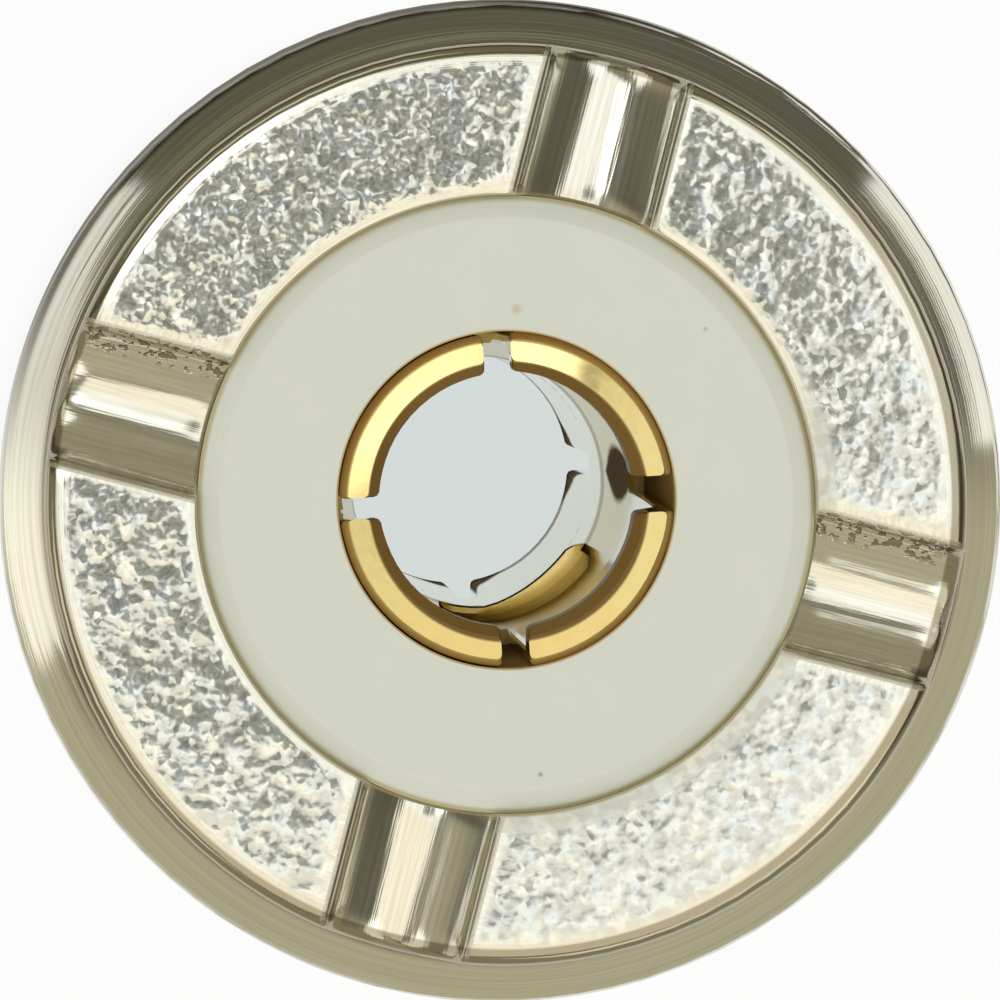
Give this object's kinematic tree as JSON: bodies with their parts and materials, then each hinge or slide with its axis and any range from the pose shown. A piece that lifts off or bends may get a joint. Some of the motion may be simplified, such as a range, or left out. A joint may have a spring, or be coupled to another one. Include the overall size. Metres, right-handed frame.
{
  "type": "coaxial adapter",
  "caption": "Straight barrel coaxial adapter with a threaded socket at each end: notched end faces, white insulators and a slit gold center contact that joins two cable plugs.",
  "frame": {"origin": "centre of the rear end face, on which the barrel stands", "axes": "+Z along the barrel's axis, from the rear end face to the front end face; the other two axes lie in the rear end face"},
  "size_m": [0.0158, 0.0158, 0.029],
  "materials": {
    "plated_shell": "nickel plated brass, turned, with grained end faces",
    "insulator": "white fluoropolymer, turned",
    "gold_contact": "gold plated brass"
  },
  "bodies": {
    "root": {"body": "plated_shell", "front_insulator": "insulator", "rear_insulator": "insulator", "center_contact": "gold_contact"}
  },
  "joints": []
}
